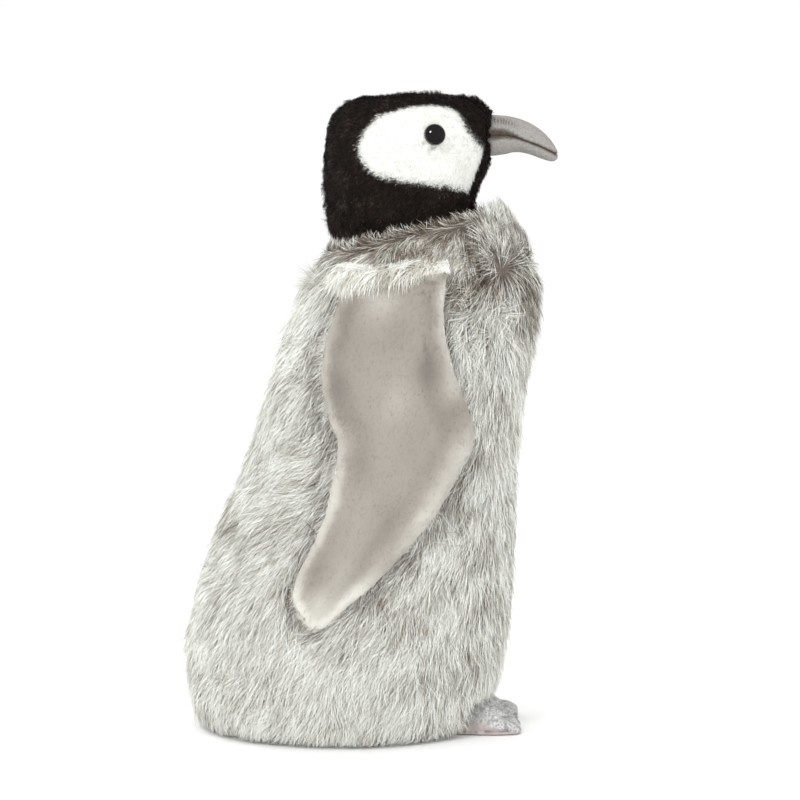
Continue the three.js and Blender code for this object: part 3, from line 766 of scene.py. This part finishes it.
# ---------------------------------------------------------------- Beak
# Grey velour in two halves, stuffed, with a dark mouth line airbrushed along the seam between them.
# A band of brown ribs is airbrushed on the upper half, from the root to about half way.
beak_low, beak_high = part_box("upper_beak")
beak_cloth, nodes, links, shader = new_cloth("beak_velour", 0.8, 0.2, (0.9, 0.88, 0.86, 1))
nap = mottle(nodes, links, 1100, 4)
velour_ramp = ramp_of(nodes, [(0.3, (0.25, 0.238, 0.224)), (0.7, (0.37, 0.356, 0.336))])
links.new(nap.outputs["Fac"], velour_ramp.inputs["Fac"])
brown_ramp = ramp_of(nodes, [(0.3, (0.035, 0.024, 0.016)), (0.7, (0.085, 0.064, 0.048))])
links.new(nap.outputs["Fac"], brown_ramp.inputs["Fac"])
sprayed = attribute_of(nodes, "airbrush")
painted = layered(nodes, links, sprayed, velour_ramp.outputs["Color"], brown_ramp.outputs["Color"])
links.new(painted, shader.inputs["Base Color"])
bump = nodes.new("ShaderNodeBump")
bump.inputs["Strength"].default_value = 0.6
bump.inputs["Distance"].default_value = 0.0003
links.new(nap.outputs["Fac"], bump.inputs["Height"])
links.new(bump.outputs["Normal"], shader.inputs["Normal"])

root_x = beak_low[0] + 0.004
beak_span = beak_high[0] - root_x
halves = {}
for half in ("upper_beak", "lower_beak"):
    velour = joined_copy(f"{half}_velour", [half])
    velour.data.remesh_voxel_size = 0.0006
    bpy.ops.object.voxel_remesh()
    rounding = velour.modifiers.new("rounding", "SMOOTH")
    rounding.factor = 0.5
    rounding.iterations = 8
    bpy.ops.object.modifier_apply(modifier="rounding")
    bpy.ops.object.shade_smooth()
    halves[half] = velour
facing = {}
for half, other in (("upper_beak", "lower_beak"), ("lower_beak", "upper_beak")):
    corners = halves[other].data.vertices
    facing[half] = KDTree(len(corners))
    for index, corner in enumerate(corners):
        facing[half].insert(corner.co, index)
    facing[half].balance()
for half, velour in halves.items():
    fit_over(velour, "beak_filling", 0.0006, -0.00022)
    places, normals, _ = skin_arrays(velour)
    from_seam = np.array([facing[half].find(place)[2] for place in places])
    along = np.clip((places[:, 0] - root_x) / beak_span, 0, 1)
    edge = (0.0034 if half == "upper_beak" else 0.0016) * (1 - ease(along, 0.0, 0.55)) + 0.0013
    edge *= 0.8 + 0.4 * drift(places, 0.0012, 71)
    airbrush = 0.95 * (1 - ease(from_seam, 0.45 * edge, 1.5 * edge))
    if half == "upper_beak":
        height = from_seam / (0.017 * (1 - 0.75 * along))
        ribs = 0.55 + 0.45 * np.sin(along * 150 + 6 * drift(places, 0.003, 72))
        band = np.exp(-(((height - 0.56) / 0.17) ** 2)) * (1 - ease(along, 0.22, 0.52)) * ribs
        airbrush = np.maximum(airbrush, 0.85 * band)
    airbrush = np.maximum(airbrush, 0.5 * (1 - ease(along, 0.0, 0.06)))
    write_attribute(velour, "airbrush", airbrush)
    velour.data.materials.append(beak_cloth)
    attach(velour, "head")
    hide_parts(half)


# ---------------------------------------------------------------- Flippers
# Two pieces of short taupe velour sewn round a thin padding, turned and brushed down.
# Handling leaves soft dents, with painted shade in the dents and painted light on the rises; a painted
# highlight runs pale along the sewn edge.
flipper_cloth, nodes, links, shader = new_cloth("flipper_velour", 0.85, 0.25, (0.95, 0.93, 0.91, 1))
flipper_ramp = ramp_of(nodes, [
    (0.0, (0.13, 0.112, 0.10)),
    (0.35, (0.24, 0.218, 0.190)),
    (0.6, (0.33, 0.304, 0.268)),
    (1.0, (0.66, 0.65, 0.59)),
])
links.new(attribute_of(nodes, "tone"), flipper_ramp.inputs["Fac"])
nap = mottle(nodes, links, 900)
nap_ramp = ramp_of(nodes, [(0.3, (0.06, 0.06, 0.06)), (0.7, (0, 0, 0))])
links.new(nap.outputs["Fac"], nap_ramp.inputs["Fac"])
pressed = (0.09, 0.075, 0.065)
napped = layered(nodes, links, nap_ramp.outputs["Color"], flipper_ramp.outputs["Color"], pressed)
links.new(napped, shader.inputs["Base Color"])
velour_fibre = fibre_cloth(
    "velour_fibre",
    [
        (0.0, (0.13, 0.112, 0.10)),
        (0.35, (0.25, 0.228, 0.200)),
        (0.6, (0.35, 0.324, 0.287)),
        (1.0, (0.72, 0.71, 0.65)),
    ],
    (0.30, 0.278, 0.248),
    0.8,
    0.2,
)
# Each mark is its x and z, its size, how deep it is pressed, and how much paler it is painted: painted
# light on a rise, painted shade in a dent.
marks = [
    (0.0446, 0.204, 0.0085, 0.0018, -0.30), (0.0585, 0.183, 0.0075, 0.0016, -0.28),
    (-0.0030, 0.238, 0.0090, 0.0010, -0.20), (-0.0060, 0.196, 0.0070, 0.0008, -0.18),
    (0.0210, 0.122, 0.0110, 0.0008, -0.12), (-0.0160, 0.094, 0.0090, 0.0006, -0.14),
    (0.0280, 0.226, 0.0090, 0.0008, -0.10), (0.0360, 0.160, 0.0120, 0.0008, -0.08),
    (0.0050, 0.155, 0.0080, 0.0006, -0.10), (0.0190, 0.244, 0.0110, -0.0006, 0.12),
    (0.0280, 0.190, 0.0110, -0.0006, 0.10), (0.0500, 0.244, 0.0050, -0.0004, 0.12),
    (0.0000, 0.130, 0.0120, -0.0004, 0.08),
]
flipper_fibres = 40000
for side, sign in (("left", 1), ("right", -1)):
    parts = [f"{side}_flipper_{part}" for part in ("outer_panel", "inner_panel", "padding")]
    shell = joined_copy(f"{side}_flipper_velour", parts)
    flipper = stuffed(shell, voxel=0.0018, pressure=3.0, cap=0.0015, smooth=8)
    places, normals, triangles = skin_arrays(flipper)
    rim_places = places[np.abs(normals[:, 1]) < 0.25]
    rim_tree = KDTree(len(rim_places))
    for index, place in enumerate(rim_places):
        rim_tree.insert((place[0], 0, place[2]), index)
    rim_tree.balance()
    from_rim = np.array([rim_tree.find((place[0], 0, place[2]))[2] for place in places])
    outer = ease(normals[:, 1] * sign, -0.2, 0.4)
    sink = 0.0010 * (drift(places * np.array([1, 0.2, 1]), 0.02, 51) - 0.5)
    tone = 0.55 + 0.16 * (drift(places * np.array([1, 0.2, 1]), 0.02, 53) - 0.5)
    for mark_x, mark_z, size, depth, painted_shading in marks:
        aside = (places[:, 0] - mark_x) / size
        above = (places[:, 2] - mark_z) / (1.3 * size)
        swell = np.exp(-(aside**2) - above**2)
        sink += depth * swell
        tone += painted_shading * swell
    sink *= ease(from_rim, 0.004, 0.012)
    front_edge = ease(places[:, 0], 0.035, 0.043) * ease(places[:, 2], 0.200, 0.215)
    for line in (0.0045, 0.0095):
        sink -= 0.0011 * np.exp(-(((from_rim - line) / 0.0013) ** 2)) * front_edge
    moved = places - normals * (sink * outer)[:, None]
    flipper.data.vertices.foreach_set("co", moved.astype(np.float32).ravel())
    for _ in range(2):
        fit_over(flipper, f"{side}_flipper_padding", 0.0010)

    # Painted light along the sewn edge: a pale highlight band this broad, with a band of painted shade
    # just inside it.
    broad = 0.006 + 0.007 * ease(places[:, 0], -0.01, 0.02) * (1 - ease(places[:, 2], 0.19, 0.23))
    rim = 1 - ease(from_rim, 0.25 * broad, broad * (0.8 + 0.5 * drift(places, 0.006, 52)))
    tone -= 0.10 * np.exp(-(((from_rim - broad * 1.25) / 0.004) ** 2))
    tone += (0.27 - 0.12 * drift(places, 0.008, 54)) * rim
    tone += 0.40 * (1 - ease(places[:, 2], 0.066, 0.108))
    tone = np.clip(tone, 0.02, 0.98)
    write_attribute(flipper, "tone", tone)
    flipper.data.materials.append(flipper_cloth)
    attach(flipper, f"{side}_flipper")
    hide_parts(*parts[:2])

    places, normals, triangles = skin_arrays(flipper)
    # The fibres take the velour's tone at their roots, its painted light and shade included.
    roots, upright, root_tone = scatter(
        places, normals, triangles, 0.25 + 0.75 * outer, flipper_fibres, tone
    )
    count = len(roots)
    brushed = np.stack([
        -0.25 - 0.35 * (1 - ease(roots[:, 2], 0.10, 0.18)), np.zeros(count), -np.ones(count),
    ], axis=1) + 1.1 * np.stack([drift(roots, 0.012, s) - 0.5 for s in (55, 56, 57)], axis=1)
    pile = grow(
        f"{side}_flipper_pile", roots, upright, brushed,
        0.0034 * (0.6 + 0.7 * dice.random(count)),
        0.00030 * (0.8 + 0.4 * dice.random(count)),
        np.radians(10 + 18 * dice.random(count)),
        root_tone + dice.normal(0, 0.05, count),
        levels=2, clump=0.002, gather=0.2, rough=0.4,
    )
    pile.data.materials.append(velour_fibre)
    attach(pile, f"{side}_flipper")


# ---------------------------------------------------------------- Feet
# Each foot is a small stuffed pad with a bulb of toes. Its top is crumpled grey cloth printed with
# pale scale rings, and its sole is plain pinkish cloth turned up a little way round the sides.
foot_cloth, nodes, links, shader = new_cloth("foot_print", 0.75, 0.1)
coordinates = nodes.new("ShaderNodeTexCoord")
cells = nodes.new("ShaderNodeTexVoronoi")
cells.inputs["Scale"].default_value = 370
links.new(coordinates.outputs["Object"], cells.inputs["Vector"])
print_ramp = ramp_of(nodes, [
    (0.0, (0.32, 0.325, 0.325)),
    (0.24, (0.36, 0.365, 0.365)),
    (0.36, (0.70, 0.71, 0.70)),
    (0.46, (0.64, 0.65, 0.64)),
    (0.60, (0.34, 0.34, 0.34)),
    (0.9, (0.22, 0.22, 0.22)),
])
links.new(cells.outputs["Distance"], print_ramp.inputs["Fac"])
faded = mottle(nodes, links, 160, 4, coordinates.outputs["Object"])
faded_ramp = ramp_of(nodes, [(0.38, (0, 0, 0)), (0.64, (0.85, 0.85, 0.85))])
links.new(faded.outputs["Fac"], faded_ramp.inputs["Fac"])
worn = (0.42, 0.42, 0.41)
printed = layered(nodes, links, faded_ramp.outputs["Color"], print_ramp.outputs["Color"], worn)
sole_ramp = ramp_of(nodes, [(0.3, (0.42, 0.365, 0.35)), (0.7, (0.52, 0.465, 0.45))])
links.new(mottle(nodes, links, 500).outputs["Fac"], sole_ramp.inputs["Fac"])
links.new(
    layered(nodes, links, attribute_of(nodes, "sole"), printed, sole_ramp.outputs["Color"]),
    shader.inputs["Base Color"],
)
for side in ("left", "right"):
    parts = [f"{side}_foot_{part}" for part in ("top", "sole", "filling")]
    shell = joined_copy(f"{side}_foot_pad", parts)
    foot = stuffed(shell, voxel=0.0011, pressure=2.0, cap=0.0008, smooth=3)
    places, normals, _ = skin_arrays(foot)
    heel_x, toe_x = places[:, 0].min(), places[:, 0].max()
    along = (places[:, 0] - heel_x) / (toe_x - heel_x)
    seam = 0.0068 * (1 - ease(along, 0.15, 0.95)) + 0.0014
    write_attribute(foot, "sole", 1 - ease(places[:, 2], seam - 0.0004, seam + 0.0004))
    crumple = (drift(places, 0.006, 81) - 0.5) * 0.0018 + (drift(places, 0.0028, 82) - 0.5) * 0.0008
    moved = places + normals * (crumple * ease(places[:, 2], 0.002, 0.006))[:, None]
    moved[:, 2] = np.maximum(moved[:, 2], 0)
    foot.data.vertices.foreach_set("co", moved.astype(np.float32).ravel())
    fit_over(foot, f"{side}_foot_filling", 0.0005)
    foot.data.materials.append(foot_cloth)
    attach(foot, f"{side}_foot")
    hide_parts(*parts[:2])


# ---------------------------------------------------------------- Base and stuffing
# The base is a disc of woven cloth. Inside are fibre stuffing, a calico bag of pellets,
# and the eyes' lock washers.
base_cloth, nodes, links, shader = new_cloth("base_weave", 0.9, 0.1)
coordinates = nodes.new("ShaderNodeTexCoord")
weave = nodes.new("ShaderNodeTexBrick")
weave.inputs["Scale"].default_value = 420
weave.inputs["Mortar Size"].default_value = 0.03
weave.inputs["Color1"].default_value = (0.26, 0.245, 0.23, 1)
weave.inputs["Color2"].default_value = (0.31, 0.295, 0.28, 1)
weave.inputs["Mortar"].default_value = (0.14, 0.13, 0.12, 1)
links.new(coordinates.outputs["Object"], weave.inputs["Vector"])
links.new(weave.outputs["Color"], shader.inputs["Base Color"])

stuffing_fibre, nodes, links, shader = new_cloth("stuffing_fibre", 1.0, 0.2)
stuffing_ramp = ramp_of(nodes, [(0.35, (0.72, 0.72, 0.70)), (0.65, (0.90, 0.90, 0.88))])
links.new(mottle(nodes, links, 140, 6).outputs["Fac"], stuffing_ramp.inputs["Fac"])
links.new(stuffing_ramp.outputs["Color"], shader.inputs["Base Color"])

calico, nodes, links, shader = new_cloth("pellet_bag_calico", 0.9)
calico_ramp = ramp_of(nodes, [(0.3, (0.60, 0.55, 0.46)), (0.7, (0.74, 0.69, 0.60))])
links.new(mottle(nodes, links, 600, 2).outputs["Fac"], calico_ramp.inputs["Fac"])
links.new(calico_ramp.outputs["Color"], shader.inputs["Base Color"])

washer_white, nodes, links, shader = new_cloth("washer_white", 0.4, specular=0.5)
washer_ramp = ramp_of(nodes, [(0.3, (0.76, 0.76, 0.74)), (0.7, (0.84, 0.84, 0.82))])
links.new(mottle(nodes, links, 300, 2).outputs["Fac"], washer_ramp.inputs["Fac"])
links.new(washer_ramp.outputs["Color"], shader.inputs["Base Color"])

for node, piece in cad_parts.items():
    finish = None
    if node == "base_panel":
        finish = base_cloth
    elif node == "pellet_bag":
        finish = calico
    elif node.endswith("washer"):
        finish = washer_white
    elif node.endswith(("filling", "padding")):
        finish = stuffing_fibre
    if finish:
        for slot in piece.material_slots:
            slot.material = finish
